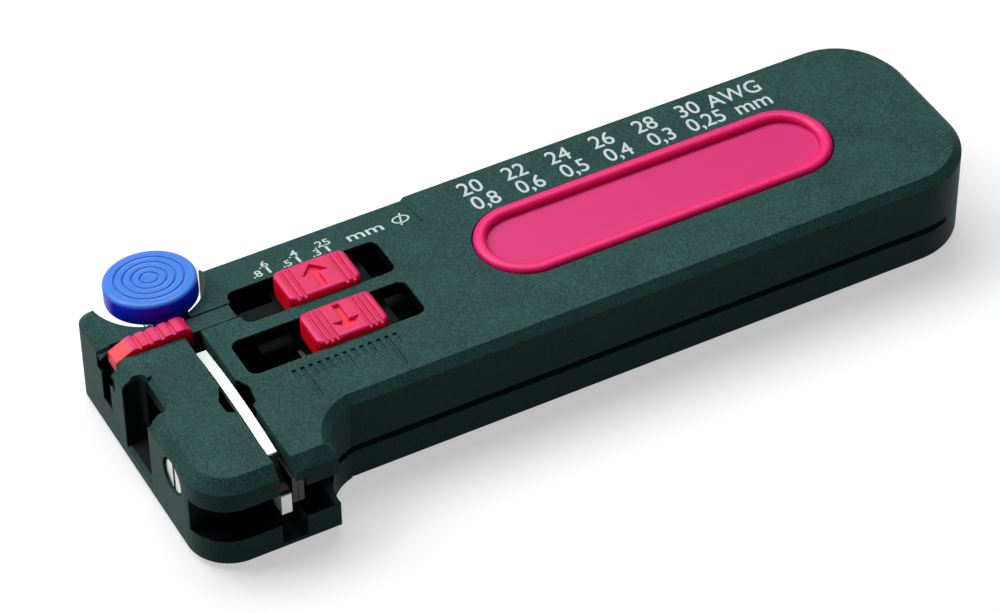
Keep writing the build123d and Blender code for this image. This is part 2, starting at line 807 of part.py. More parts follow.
def ribbed_knob(x_span, y_middle, half_width, rib_count):
    """A raised knob with round corners and cross grooves."""
    with BuildSketch(Plane.XY.offset(slide_top_z)) as plan:
        with Locations((sum(x_span) / 2, y_middle)):
            Rectangle(x_span[1] - x_span[0], 2 * half_width)
        fillet(plan.vertices(), 1.0)
    knob = extrude(plan.sketch, amount=knob_top_z - slide_top_z)
    fillet(knob.edges().group_by(Axis.Z)[-1], 0.4)
    pitch = (x_span[1] - x_span[0] - 2.0) / (rib_count - 1)
    for rib in range(rib_count):
        rib_x = x_span[0] + 1.0 + rib * pitch
        if abs(rib_x - sum(x_span) / 2) > arrow_head + 2 * rib_half_width:
            y_span = (y_middle - half_width, y_middle + half_width)
            groove_x = (rib_x - rib_half_width, rib_x + rib_half_width)
            box(groove_x, y_span, (knob_top_z - 0.3, knob_top_z + 1), Mode.SUBTRACT)


def arrow_recess(middle_x, tail_y, tip_y):
    """A recessed arrow across a knob, from its tail to its tip."""
    way = 1 if tip_y > tail_y else -1
    with BuildSketch(Plane.XY.offset(knob_top_z - 0.4)) as arrow:
        with BuildLine():
            Polyline(
                (middle_x - arrow_shaft, tail_y),
                (middle_x + arrow_shaft, tail_y),
                (middle_x + arrow_shaft, tip_y - way * arrow_head),
                (middle_x + arrow_head, tip_y - way * arrow_head),
                (middle_x, tip_y),
                (middle_x - arrow_head, tip_y - way * arrow_head),
                (middle_x - arrow_shaft, tip_y - way * arrow_head),
                close=True,
            )
        make_face()
    extrude(arrow.sketch, amount=2, mode=Mode.SUBTRACT)


def diameter_carrier():
    """The dark slide under the roof: plate, stepped flange beside the button, flush tongue and front key."""
    with BuildPart() as carrier:
        box((-29.6, -18.5), (1.6, 8.4), (slide_bottom_z, slide_top_z))
        box((ramp_front_x + 0.2, -29.6), (flange_y[0], ramp_y[1]), (slide_bottom_z, slide_top_z))
        box((ramp_back_x, tongue_back_x), ramp_y, (slide_top_z, body_height - 0.05))
        for setting in (-1, 0, 1):
            middle_x = button_x + setting * setting_pitch
            x_span = (middle_x - setting_pitch / 2, middle_x + setting_pitch / 2)
            step_z = lowest_setting_z + (setting + 1) * setting_rise
            box(x_span, (ramp_y[1], flange_y[1]), (slide_bottom_z, step_z))
        box((ramp_front_x + 0.2, ramp_front_x + 1.1), key_y, (5.0, slide_bottom_z))
    carrier.part.label = "diameter_carrier"
    export_step(carrier.part, "parts/diameter_carrier.step")


def diameter_knob():
    """The thumb knob of the diameter slide."""
    middle_y = sum(size_slot_y) / 2
    half_width = (size_slot_y[1] - size_slot_y[0]) / 2 - knob_gap
    with BuildPart() as knob:
        ribbed_knob(size_knob_x, middle_y, half_width, 9)
        arrow_recess(sum(size_knob_x) / 2, middle_y - 2.0, middle_y + 1.9)
    knob.part.label = "diameter_knob"
    export_step(knob.part, "parts/diameter_knob.step")


def step_ramp():
    """The ribbed ramp in front of the diameter slide: it rises from its tip and rounds off at its back."""
    rise_x = ramp_front_x + 2.1
    with BuildPart() as ramp:
        with BuildSketch(Plane.XZ.offset(-ramp_y[0])):
            with BuildLine():
                Polyline(
                    (ramp_back_x, slide_top_z),
                    (ramp_front_x, slide_top_z),
                    (ramp_front_x, body_height - 0.5),
                    (rise_x, ramp_top_z - 0.3),
                    (ramp_back_x - 1.3, ramp_top_z),
                )
                ThreePointArc(
                    (ramp_back_x - 1.3, ramp_top_z),
                    (ramp_back_x - 0.35, ramp_top_z - 0.35),
                    (ramp_back_x, ramp_top_z - 1.3),
                )
                Line((ramp_back_x, ramp_top_z - 1.3), (ramp_back_x, slide_top_z))
            make_face()
        extrude(amount=ramp_y[0] - ramp_y[1])
        for rib in range(4):
            rib_x = rise_x + 0.6 + 1.35 * rib
            rib_z = ramp_top_z - 0.3 + 0.3 * (rib_x - rise_x) / (ramp_back_x - 1.3 - rise_x)
            box((rib_x, rib_x + 0.45), ramp_y, (rib_z - 0.22, rib_z + 1), Mode.SUBTRACT)
    ramp.part.label = "step_ramp"
    export_step(ramp.part, "parts/step_ramp.step")


def stop_carrier():
    """The dark slide plate of the length stop, with the arm that carries the stop."""
    with BuildPart() as carrier:
        box((-29.5, -19.0), (-6.0, 1.2), (slide_bottom_z, slide_top_z))
        box((-29.5, -28.3), stop_arm_y, (stop_arm_z, slide_bottom_z))
    carrier.part.label = "stop_carrier"
    export_step(carrier.part, "parts/stop_carrier.step")


def stop_knob():
    """The thumb knob of the length stop."""
    middle_y = sum(stop_slot_y) / 2
    half_width = (stop_slot_y[1] - stop_slot_y[0]) / 2 - knob_gap
    with BuildPart() as knob:
        ribbed_knob(stop_knob_x, middle_y, half_width, 11)
        arrow_recess(sum(stop_knob_x) / 2, middle_y + 2.1, middle_y - 2.1)
    knob.part.label = "stop_knob"
    export_step(knob.part, "parts/stop_knob.step")


def stop_plate():
    """The hard plate on the stop arm that the wire's end meets."""
    with BuildPart() as plate:
        box((-30.0, -29.5), stop_arm_y, (stop_arm_z, 8.3))
    plate.part.label = "stop_plate"
    export_step(plate.part, "parts/stop_plate.step")


def slide_bed():
    """The plate under both slides, with the slot that the stop arm moves in."""
    with BuildPart() as bed:
        box(bed_x, bed_y, (bed_bottom_z, bed_top_z))
        box((bed_x[0] - 1, -23.8), (-4.6, -0.2), (bed_bottom_z, bed_top_z), Mode.SUBTRACT)
        box((-26.2, -19.8), (4.0, 6.0), (bed_bottom_z + 0.5, bed_top_z), Mode.SUBTRACT)
        box((-22.2, -15.8), (-3.4, -1.4), (bed_bottom_z + 0.5, bed_top_z), Mode.SUBTRACT)
        rods_along_z(bed_screw_places, (bed_bottom_z, bed_top_z), bed_screw_radius, Mode.SUBTRACT)
    bed.part.label = "slide_bed"
    export_step(bed.part, "parts/slide_bed.step")


def bed_screws():
    """Two small screws that hold the slide bed under the roof."""
    with BuildPart() as screws:
        rods_along_z(bed_screw_places, (bed_bottom_z - 0.8, bed_bottom_z), bed_screw_head_radius)
        rods_along_z(bed_screw_places, (bed_bottom_z, roof_z), bed_screw_radius)
    screws.part.label = "bed_screws"
    export_step(screws.part, "parts/bed_screws.step")


def detent_spring(name, x_span, y_middle):
    """A bowed leaf in the bed that drags on one slide so that it stays where it is put."""
    low = bed_bottom_z + 0.5
    high = slide_bottom_z - 0.05
    middle_x = sum(x_span) / 2
    with BuildPart() as leaf:
        with BuildSketch(Plane.XZ.offset(-y_middle - detent_width / 2)):
            with BuildLine():
                ThreePointArc((x_span[0], low), (middle_x, high - 0.2), (x_span[1], low))
                ThreePointArc((x_span[0] + 0.4, low), (middle_x, high - 0.4), (x_span[1] - 0.4, low))
                Line((x_span[0], low), (x_span[0] + 0.4, low))
                Line((x_span[1], low), (x_span[1] - 0.4, low))
            make_face()
        extrude(amount=detent_width)
    leaf.part.label = name
    export_step(leaf.part, f"parts/{name}.step")


nose_block()
upper_housing()
lower_housing()
grip_inlay()
housing_screws()
nose_dowels()
wire_guide()
pivot_screw()
pivot_insert()
pivot_washer()
blade_lever()
upper_blade()
blade_rivets()
lower_blade()
cutter_plates()
push_button()
button_pin()
spring_seat()
return_spring()
diameter_carrier()
diameter_knob()
step_ramp()
stop_carrier()
stop_knob()
stop_plate()
slide_bed()
bed_screws()
detent_spring("diameter_detent_spring", (-26.0, -20.0), 5.0)
detent_spring("stop_detent_spring", (-22.0, -16.0), wire_y)
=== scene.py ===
"""Finishes, printed scales, fine surface detail and a studio stage for a precision wire stripper."""

import math

import bpy
import numpy as np
from bpy.props import FloatProperty, FloatVectorProperty, PointerProperty, StringProperty
from mathutils import Matrix, Vector


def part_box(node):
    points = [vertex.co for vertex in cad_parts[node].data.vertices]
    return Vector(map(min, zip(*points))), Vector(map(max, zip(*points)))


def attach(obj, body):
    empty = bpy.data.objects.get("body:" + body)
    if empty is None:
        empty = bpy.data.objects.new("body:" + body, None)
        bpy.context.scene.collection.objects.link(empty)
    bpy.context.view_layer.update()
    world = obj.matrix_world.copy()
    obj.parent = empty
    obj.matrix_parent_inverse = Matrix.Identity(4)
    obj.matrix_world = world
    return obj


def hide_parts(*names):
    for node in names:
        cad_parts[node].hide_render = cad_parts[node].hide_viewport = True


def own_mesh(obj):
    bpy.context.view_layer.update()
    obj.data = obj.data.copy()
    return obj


bl_info = {
    "name": "Precision Wire Stripper Looks",
    "version": (1, 0, 0),
    "blender": (4, 5, 0),
    "location": "View3D > Sidebar > Stripper",
    "description": "Gives a precision wire stripper its finishes, printed scales and studio stage",
    "category": "Add Mesh",
}

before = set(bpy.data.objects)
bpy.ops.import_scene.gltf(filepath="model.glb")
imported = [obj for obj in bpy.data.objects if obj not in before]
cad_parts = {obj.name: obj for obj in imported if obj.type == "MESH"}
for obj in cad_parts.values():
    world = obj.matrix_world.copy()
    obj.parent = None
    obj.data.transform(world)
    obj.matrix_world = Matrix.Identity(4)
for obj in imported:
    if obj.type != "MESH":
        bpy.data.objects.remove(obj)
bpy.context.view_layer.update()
mm = 0.001

top_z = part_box("upper_housing")[1].z
white = (1.0, 1.0, 1.0, 1.0)
black = (0.0, 0.0, 0.0, 1.0)

# Blocks in millimetres, each by its limits along X, Y and Z.
# These lie inside the shells' openings, where painted shade turns the plastic near black.
painted_shade_openings = [
    ((-37.8, -16.2), (-5.4, 7.95), (1.0, 11.75)),
    ((-49.9, -43.5), (-6.0, 0.9), (2.5, 11.2)),
    ((-42.5, -38.2), (-10.0, -4.8), (1.0, 11.75)),
    ((-49.9, -41.2), (2.6, 7.6), (4.5, 10.3)),
    ((-51.0, -35.0), (-20.0, -15.2), (3.93, 8.37)),
    ((-41.2, -38.3), (-20.0, -15.2), (1.3, 9.0)),
]
# Everything under the roof, where painted shade turns the inner parts near black.
painted_shade_under_roof = [((-60.0, 60.0), (-20.0, 20.0), (-1.0, 11.4))]
# The lever's lit edges, its long top edge and its tip, keep the steel colour; elsewhere painted shade makes
# the lever near black.
lever_lit_edges = [
    ((-42.0, -38.0), (-15.95, 3.0), (10.95, 12.5)),
    ((-42.0, -38.0), (-20.0, -16.9), (4.0, 7.7)),
]

# The faint mould line across the nose's top.
mould_line_y, mould_line_slant, mould_line_half_width = -2.3 * mm, 0.05, 0.16 * mm
mould_line_span = (-46.2 * mm, -42.2 * mm)
top_skin = 0.15 * mm

# Heights in millimetres above which a glossy piece takes its upper colour, a painted sheen; the button's
# level tilts.
inlay_sheen_level, knob_sheen_level = 11.8, 12.3
button_sheen_level, button_tilt = 14.9, 0.114

# Metals that the sidebar leaves alone.
screw_colour, brass_colour = (0.68, 0.69, 0.66), (0.78, 0.56, 0.22)
# The second colour on the next line is painted shade: the near black of the lever away from its lit edges.
wire_colour, painted_shade_steel = (0.5, 0.5, 0.52), (0.03, 0.028, 0.026)

# Noise scales along X, Y and Z: a small one draws the scratches out along that axis.
along_x, along_y, along_z = (0.3, 1.0, 1.0), (6.0, 0.25, 6.0), (1.0, 1.0, 0.2)
even = (1.0, 1.0, 1.0)

# Printing: the ink lies a little above its surface; the font's capitals are a share of its size.
ink_lift = 0.012 * mm
capital_share = 0.729
stroke_weight = 0.012

# The row of wire gauges and the row of wire sizes on the handle.
gauge_row_y, gauge_start_x = 10.5 * mm, -3.05 * mm
size_row_y, size_start_x = 7.8 * mm, -2.5 * mm
gauge_unit_place = (31.0 * mm, 10.4 * mm)
size_unit_x = 32.0 * mm
size_pitch_share = 1.007
long_size_shift = 0.15 * mm

# The sloping band: its inner edge, how far that lies below the top, and how it falls along Y.
band_edge_y, band_edge_drop, band_slope = 7.8 * mm, 0.3 * mm, 1.1 / 5.8
tick_start_x, tick_pitch, tick_width = -28.4 * mm, 3.6 * mm, 0.3 * mm
tick_span = (8.95 * mm, 10.2 * mm)
inner_number_shift, inner_number_y = 1.45 * mm, 9.6 * mm
outer_number_shift, outer_number_y = 0.15 * mm, 11.0 * mm
band_unit_place = (-16.4 * mm, 10.25 * mm)
diameter_sign_x, diameter_sign_y, sign_stroke = -11.9 * mm, 10.2 * mm, 0.22 * mm
sign_radii = (1.05 * mm, 0.8 * mm)
slash_span, slash_lean = (9.0 * mm, 11.4 * mm), 0.35

# The spring under the button.
spring_wire_radius, spring_turns = 0.18 * mm, 5

# The stage.
floor_reach, floor_points, floor_drop = 2.0, 5, 0.0002
world_strength = 0.06
camera_target = (-10.22, -9.97, 13.63)
sensor_width, nearest_view = 36.0, 0.01
rear_left_place, rear_left_size = (-0.42, 0.4, 0.6), 0.5
overhead_place, overhead_size = (0.05, 0.35, 0.75), 0.6
front_distance, front_shift, front_size = 0.9, (0.35, 0.0, 0.05), 0.5


# Shader maths


class Signal:
    """A shader socket, so that an expression on it adds the Math nodes it needs."""

    def __init__(self, graph, socket):
        self.graph = graph
        self.socket = socket

    def math(self, operation, *others):
        """Adds a Math node on this signal and any others."""
        values = {0: self}
        values.update({place + 1: other for place, other in enumerate(others)})
        return self.graph.add("ShaderNodeMath", {"operation": operation}, values)

    def __add__(self, other):
        return self.math("ADD", other)

    __radd__ = __add__

    def __mul__(self, other):
        return self.math("MULTIPLY", other)

    def __sub__(self, other):
        return self.math("SUBTRACT", other)

    def __gt__(self, other):
        return self.math("GREATER_THAN", other)

    def __lt__(self, other):
        return self.math("LESS_THAN", other)

    def size(self):
        """The value without its sign."""
        return self.math("ABSOLUTE")


class Graph:
    """One material's node tree with its Principled shader."""

    def __init__(self, name, **constants):
        self.material = bpy.data.materials.new(name)
        self.material.use_nodes = True
        self.tree = self.material.node_tree
        self.shader = self.tree.nodes["Principled BSDF"]
        for socket_name, value in constants.items():
            self.shader.inputs[socket_name.replace("_", " ")].default_value = value
        self.place = self.add("ShaderNodeTexCoord", output="Object")

    def add(self, kind, settings=None, values=None, output=0):
        """Adds one node: its settings first, then the values or links of its sockets."""
        node = self.tree.nodes.new(kind)
        for name, value in (settings or {}).items():
            if name == "stops":
                ramp = node.color_ramp
                for place, (position, colour) in enumerate(value):
                    stop = ramp.elements[place] if place < 2 else ramp.elements.new(position)
                    stop.position = position
                    stop.color = colour
            else:
                setattr(node, name, value)
        for name, value in (values or {}).items():
            if isinstance(value, Signal):
                self.tree.links.new(value.socket, node.inputs[name])
            else:
                node.inputs[name].default_value = value
        return Signal(self, node.outputs[output])

    def feed(self, socket_name, signal):
        """Links a signal to one of the shader's sockets."""
        self.tree.links.new(signal.socket, self.shader.inputs[socket_name])

    def axes(self):
        """The three object coordinates, in metres."""
        node = self.tree.nodes.new("ShaderNodeSeparateXYZ")
        self.tree.links.new(self.place.socket, node.inputs[0])
        return [Signal(self, node.outputs[axis]) for axis in range(3)]

    def inside(self, *spans):
        """One inside a block given in millimetres by its limits along X, Y and Z, nothing outside."""
        mask = 1.0
        for signal, (low, high) in zip(self.axes(), spans):
            mask = (signal > low * mm) * (signal < high * mm) * mask
        return mask

    def inside_any(self, blocks):
        """One inside any of the blocks, nothing outside them."""
        mask = self.inside(*blocks[0])
        for block in blocks[1:]:
            mask = mask.math("MAXIMUM", self.inside(*block))
        return mask

    def noise(self, size_mm, detail=3.0, stretch=even):
        """Noise whose features are about size_mm wide, stretched along the axes."""
        stretched = self.add("ShaderNodeMapping", values={"Vector": self.place, "Scale": stretch})
        values = {"Vector": stretched, "Scale": 1000.0 / size_mm, "Detail": detail, "Roughness": 0.55}
        return self.add("ShaderNodeTexNoise", values=values, output="Fac")

    def blend(self, factor, first, second):
        """Mixes two colours by a factor."""
        settings = {"data_type": "RGBA"}
        return self.add("ShaderNodeMix", settings, {0: factor, 6: first, 7: second}, output=2)

    def rounded_bump(self, height, distance_mm, edge_mm, strength=1.0):
        """Bump in millimetres on a normal that is rounded off along the edges."""
        edge = self.add("ShaderNodeBevel", {"samples": 6}, {"Radius": edge_mm * mm})
        values = {"Height": height, "Distance": distance_mm * mm, "Strength": strength, "Normal": edge}
        return self.add("ShaderNodeBump", values=values)


def with_alpha(colour):
    """A colour of three parts as an opaque one of four."""
    return (*colour, 1.0)


def scaled(colour, factor):
    """A colour lighter or darker by a factor, opaque."""
    return tuple(min(1.0, part * factor) for part in colour) + (1.0,)


def line_mask(position, middle, half_width):
    """One inside a narrow band round a position, falling to nothing at its edges."""
    return ((position - middle).size() * (-1.0 / half_width) + 1.0).math("MAXIMUM", 0.0)


# Finishes


def housing_finish(name, colour, painted_shade_blocks):
    """Spark-eroded dark plastic: speckle and grain, painted shade that turns it near black in the openings,
    one faint mould line.
    """
    graph = Graph(name, IOR=1.17)
    x, y, z = graph.axes()
    speckle = graph.noise(0.22, 2.0)
    cloud = graph.noise(6.0, 3.0)
    grain = graph.noise(0.12, 2.0)
    shade = speckle * 0.75 + cloud * 0.25
    stops = [(place, scaled(colour, factor)) for place, factor in ((0.32, 0.55), (0.5, 1.0), (0.68, 1.7))]
    eroded = graph.add("ShaderNodeValToRGB", {"stops": stops}, {"Fac": shade})
    opening = graph.inside_any(painted_shade_blocks)
    # Painted shade: the plastic turns near black inside the opening blocks.
    graph.feed("Base Color", graph.blend(opening, eroded, scaled(colour, 0.06)))
    graph.feed("Roughness", 0.46 + speckle * 0.16)
    on_top = z > (top_z - top_skin)
    on_nose = (x > mould_line_span[0]) * (x < mould_line_span[1])
    slanted = y + x * mould_line_slant
    mould_line = line_mask(slanted, mould_line_y, mould_line_half_width) * on_nose * on_top
    height = grain * 0.5 + speckle * 0.5 - mould_line * 2.0
    graph.feed("Normal", graph.rounded_bump(height, 0.035, 0.14, 0.55))
    return graph.material


def gloss_finish(name, sheen_colour, low_colour, sheen_level_mm, tilt, roughness, edge_mm):
    """Smooth moulded plastic: a painted sheen colour above a level that may tilt along Y, the plastic's own
    colour below, soft edges.
    """
    graph = Graph(name, IOR=1.4, Subsurface_Weight=0.6, Subsurface_Scale=0.002)
    graph.shader.inputs["Subsurface Radius"].default_value = (1.0, 1.0, 1.0)
    y, z = graph.axes()[1:]
    cloud = graph.noise(9.0, 2.0)
    haze = graph.noise(0.5, 4.0)
    height = (z + y * tilt - sheen_level_mm * mm) * (1.0 / (0.25 * mm))
    # Painted sheen: the upper colour takes over above the level.
    above = height.math("MAXIMUM", 0.0).math("MINIMUM", 1.0)
    colour = graph.blend(above, with_alpha(low_colour), with_alpha(sheen_colour))
    graph.feed("Base Color", graph.blend(cloud * 0.12, colour, black))
    graph.feed("Roughness", roughness + (haze - 0.5) * 0.12)
    graph.feed("Normal", graph.rounded_bump(haze, 0.012, edge_mm, 0.35))
    return graph.material


def steel_finish(name, colour, roughness, stretch, scratch_mm, lit_blocks=()):
    """Metal with scratches drawn out by stretch; painted shade, near black, outside the lit blocks when
    there are any.
    """
    graph = Graph(name, Metallic=1.0)
    scratches = graph.noise(scratch_mm, 4.0, stretch)
    smudge = graph.noise(2.2, 3.0)
    tone = scratches * 0.6 + smudge * 0.4
    ground = graph.blend(tone, scaled(colour, 0.85), scaled(colour, 1.12))
    # Painted shade: near black outside the lit blocks.
    if lit_blocks:
        ground = graph.blend(graph.inside_any(lit_blocks), with_alpha(painted_shade_steel), ground)
    graph.feed("Base Color", ground)
    graph.feed("Roughness", roughness + (scratches - 0.5) * 0.25)
    graph.feed("Normal", graph.rounded_bump(scratches, 0.008, 0.08, 0.5))
    return graph.material


def ink_finish(colour):
    """Pad-printed ink: nearly even, with pinholes of thinner colour."""
    graph = Graph("scale_ink", Roughness=0.6)
    thin = graph.noise(0.16, 2.0)
    stops = {"stops": [(0.3, scaled(colour, 0.72)), (0.55, with_alpha(colour))]}
    graph.feed("Base Color", graph.add("ShaderNodeValToRGB", stops, {"Fac": thin}))
    return graph.material


def floor_finish(colour):
    """Pale matt paper that glows a little."""
    graph = Graph("pale_floor", Roughness=0.9, Emission_Strength=0.5)
    graph.shader.inputs["Emission Color"].default_value = white
    fibre = graph.noise(3.0, 3.0)
    graph.feed("Base Color", graph.blend(fibre, scaled(colour, 0.985), with_alpha(colour)))
    return graph.material


# Meshes


def new_piece(name, vertices, faces, material):
    """Puts an array of points and a list of faces into a mesh object of one material and one slot."""
    mesh = bpy.data.meshes.new(name)
    mesh.from_pydata(vertices.tolist(), [], faces)
    mesh.validate()
    piece = bpy.data.objects.new(name, mesh)
    bpy.context.scene.collection.objects.link(piece)
    mesh.materials.append(material)
    return piece


def grid_faces(rows, columns, closed=False):
    """Quads over a grid of points, wrapped round the columns when the surface is closed."""
    last_column = columns if closed else columns - 1
    row, column = np.meshgrid(np.arange(rows - 1), np.arange(last_column), indexing="ij")
    following = (column + 1) % columns
    corners = (row * columns + column, row * columns + following)
    upper = ((row + 1) * columns + following, (row + 1) * columns + column)
    return np.stack(corners + upper, axis=-1).reshape(-1, 4)


def letters(text, height, x, y, widen=1.0):
    """Flat lettering centred on a place: its points and its faces, from the built-in font."""
    curve = bpy.data.curves.new("letters", "FONT")
    curve.body = text
    curve.size = height / capital_share
    curve.align_x = "CENTER"
    curve.offset = stroke_weight * height
    curve.resolution_u = 6
    holder = bpy.data.objects.new("letters", curve)
    bpy.context.scene.collection.objects.link(holder)
    shape = bpy.data.meshes.new_from_object(holder)
    bpy.data.objects.remove(holder)
    points = np.empty(len(shape.vertices) * 3)
    shape.vertices.foreach_get("co", points)
    points = points.reshape(-1, 3) * (widen, 1.0, 1.0)
    faces = [tuple(face.vertices) for face in shape.polygons]
    return points + (x, y - height / 2, 0.0), faces


def joined(parts):
    """Several point and face sets as one."""
    points, faces, start = [], [], 0
    for part_points, part_faces in parts:
        points.append(part_points)
        faces.extend(tuple(corner + start for corner in face) for face in part_faces)
        start += len(part_points)
    return np.concatenate(points), faces


def laid_on(points, height_at):
    """Points moved onto the surface that height_at gives for their y, a little above it."""
    placed = points.copy()
    placed[:, 2] = height_at(points[:, 1]) + ink_lift
    return placed


def bar(x, y_low, y_high, width):
    """A flat upright bar as four points and one face."""
    left, right = x - width / 2, x + width / 2
    points = np.array([(left, y_low, 0), (right, y_low, 0), (right, y_high, 0), (left, y_high, 0)])
    return points, [(0, 1, 2, 3)]


def ring(x, y, radius_x, radius_y, width, count=48):
    """A flat oval ring: two ovals, one inside the other, joined by quads."""
    angle = np.linspace(0, 2 * math.pi, count, endpoint=False)
    outer = np.stack([x + radius_x * np.cos(angle), y + radius_y * np.sin(angle), 0 * angle], axis=1)
    inner_x, inner_y = radius_x - width, radius_y - width
    inner = np.stack([x + inner_x * np.cos(angle), y + inner_y * np.sin(angle), 0 * angle], axis=1)
    faces = grid_faces(2, count, closed=True)[:, ::-1]
    return np.concatenate([outer, inner]), [tuple(face) for face in faces.tolist()]


def coil(middle, low, high, radius, wire_radius, turns):
    """The closed skin of a coil spring's wire, as points and faces.

    With a from 0 to 1 along the wire and b round it, its centre line is
    c(a) = (radius cos 2 pi turns a, radius sin 2 pi turns a, low + (high - low) a), and its skin is
    c(a) + wire_radius (cos b outward + sin b tangent x outward).
    """
    steps, around = 60 * turns, 12
    along = np.linspace(0.0, 1.0, steps)
    angle = 2 * math.pi * turns * along
    outward = np.stack([np.cos(angle), np.sin(angle), 0 * angle], axis=1)
    centre = radius * outward + np.stack([0 * along, 0 * along, low + (high - low) * along], axis=1)
    tangent = np.gradient(centre, axis=0)
    tangent /= np.linalg.norm(tangent, axis=1, keepdims=True)
    across = np.cross(tangent, outward)
    turn = np.linspace(0, 2 * math.pi, around, endpoint=False)[None, :, None]
    rim = np.cos(turn) * outward[:, None] + np.sin(turn) * across[:, None]
    skin = centre[:, None] + wire_radius * rim
    faces = [tuple(face) for face in grid_faces(steps, around, closed=True).tolist()]
    last = (steps - 1) * around
    faces.append(tuple(range(around))[::-1])
    faces.append(tuple(range(last, last + around)))
    return skin.reshape(-1, 3) + (*middle, 0.0), faces


# Settings


def colour_setting(name, description, default):
    """A colour that the sidebar can change."""
    return FloatVectorProperty(name=name, description=description, subtype="COLOR", default=default)


class FinishSettings(bpy.types.PropertyGroup):
    """Colours of the moulded and metal parts."""

    housing: colour_setting("Housing", "Dark plastic of the shells", (0.021, 0.062, 0.057))
    # The inlay rim, knob-top and button-top colours are painted sheen: the plastic's colour paled where
    # light falls on top.
    inlay_rim: colour_setting("Inlay rim", "Red plastic of the inlay's rim", (0.82, 0.009, 0.17))
    inlay_floor: colour_setting("Inlay floor", "Red plastic of the inlay's floor", (0.68, 0.006, 0.165))
    knob_top: colour_setting("Knob tops", "Sheen-painted red on top of the knobs", (0.72, 0.003, 0.11))
    knob_side: colour_setting("Knob sides", "Clear red on the sides of the knobs", (0.95, 0.003, 0.012))
    button_top: colour_setting("Button top", "Sheen-painted blue on top of the button", (0.055, 0.22, 0.76))
    button_side: colour_setting("Button side", "Clear blue on the side of the button", (0.002, 0.014, 0.9))
    steel: colour_setting("Lever steel", "Bright ground steel", (0.6, 0.64, 0.62))
    hard_steel: colour_setting("Blade steel", "Hardened steel of the blades", (0.42, 0.42, 0.41))
    blued_steel: colour_setting("Cutter steel", "Blued steel of the cutter plates", (0.05, 0.045, 0.042))


class PrintSettings(bpy.types.PropertyGroup):
    """Sizes and colour of the printed scales."""

    ink: colour_setting("Ink", "Ink colour", (0.52, 0.62, 0.6))
    digit_height: FloatProperty(
        name="Digit height",
        description="Height of the handle scale's digits",
        default=2.25 * mm,
        unit="LENGTH",
    )
    band_height: FloatProperty(
        name="Band digit height",
        description="Height of the size scale's digits",
        default=1.3 * mm,
        unit="LENGTH",
    )
    column_pitch: FloatProperty(
        name="Column pitch",
        description="Distance between the handle scale's columns",
        default=5.6 * mm,
        unit="LENGTH",
    )
    units: StringProperty(name="Units", description="Unit after the lower row and on the band", default="mm")


class StageSettings(bpy.types.PropertyGroup):
    """Camera and light of the studio."""

    azimuth: FloatProperty(
        name="Azimuth", description="Camera's turn about Z", default=math.radians(-27.86), unit="ROTATION"
    )
    elevation: FloatProperty(
        name="Elevation", description="Camera's height angle", default=math.radians(42.69), unit="ROTATION"
    )
    roll: FloatProperty(
        name="Roll", description="Camera's roll", default=math.radians(-0.69), unit="ROTATION"
    )
    distance: FloatProperty(name="Distance", description="Camera's distance", default=0.4242, unit="LENGTH")
    lens: FloatProperty(name="Lens", description="Focal length in millimetres", default=142.55)
    key_power: FloatProperty(
        name="Key lights",
        description="Power of the rear left light and of the overhead light, in watts each",
        default=5.2,
    )
    fill_power: FloatProperty(
        name="Fill light", description="Power of the front light in watts", default=0.15
    )


# Operators


def coat(material, *nodes):
    """Gives CAD nodes one material."""
    for node in nodes:
        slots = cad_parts[node].data.materials
        slots.clear()
        slots.append(material)


class STRIPPER_OT_plastics(bpy.types.Operator):
    """Finish the shells, nose, inlay, slides and button"""

    bl_idname = "stripper.plastics"
    bl_label = "Finish plastics"

    def execute(self, context):
        colours = context.scene.stripper_finish
        shells = housing_finish("housing_plastic", colours.housing, painted_shade_openings)
        coat(shells, "upper_housing", "lower_housing", "nose_block")
        # The inner parts get painted shade: near black everywhere under the roof.
        inner = housing_finish("inner_plastic_painted_shade", colours.housing, painted_shade_under_roof)
        coat(inner, "slide_bed", "spring_seat", "wire_guide", "diameter_carrier", "stop_carrier")
        inlay_reds = (colours.inlay_rim, colours.inlay_floor)
        inlay = gloss_finish("inlay_plastic", *inlay_reds, inlay_sheen_level, 0.0, 0.42, 0.2)
        coat(inlay, "grip_inlay")
        knob_reds = (colours.knob_top, colours.knob_side)
        knobs = gloss_finish("slide_plastic", *knob_reds, knob_sheen_level, 0.0, 0.36, 0.16)
        coat(knobs, "diameter_knob", "step_ramp", "stop_knob")
        button_blues = (colours.button_top, colours.button_side)
        button = gloss_finish("button_plastic", *button_blues, button_sheen_level, button_tilt, 0.4, 0.12)
        coat(button, "push_button")
        return {"FINISHED"}


class STRIPPER_OT_metals(bpy.types.Operator):
    """Finish the lever, blades, screws, springs and insert"""

    bl_idname = "stripper.metals"
    bl_label = "Finish metals"

    def execute(self, context):
        colours = context.scene.stripper_finish
        coat(steel_finish("lever_steel", colours.steel, 0.52, along_y, 0.5, lever_lit_edges), "blade_lever")
        hard = steel_finish("blade_steel", colours.hard_steel, 0.38, along_z, 0.3)
        coat(hard, "upper_blade", "lower_blade", "stop_plate")
        blued = steel_finish("blued_steel", colours.blued_steel, 0.4, along_z, 0.3)
        coat(blued, "cutter_plates", "diameter_detent_spring", "stop_detent_spring", "bed_screws")
        turned = steel_finish("screw_steel", screw_colour, 0.3, along_x, 0.4)
        coat(turned, "pivot_screw", "pivot_washer", "housing_screws", "nose_dowels", "blade_rivets")
        coat(turned, "button_pin")
        coat(steel_finish("insert_brass", brass_colour, 0.3, along_x, 0.3), "pivot_insert")
        return {"FINISHED"}


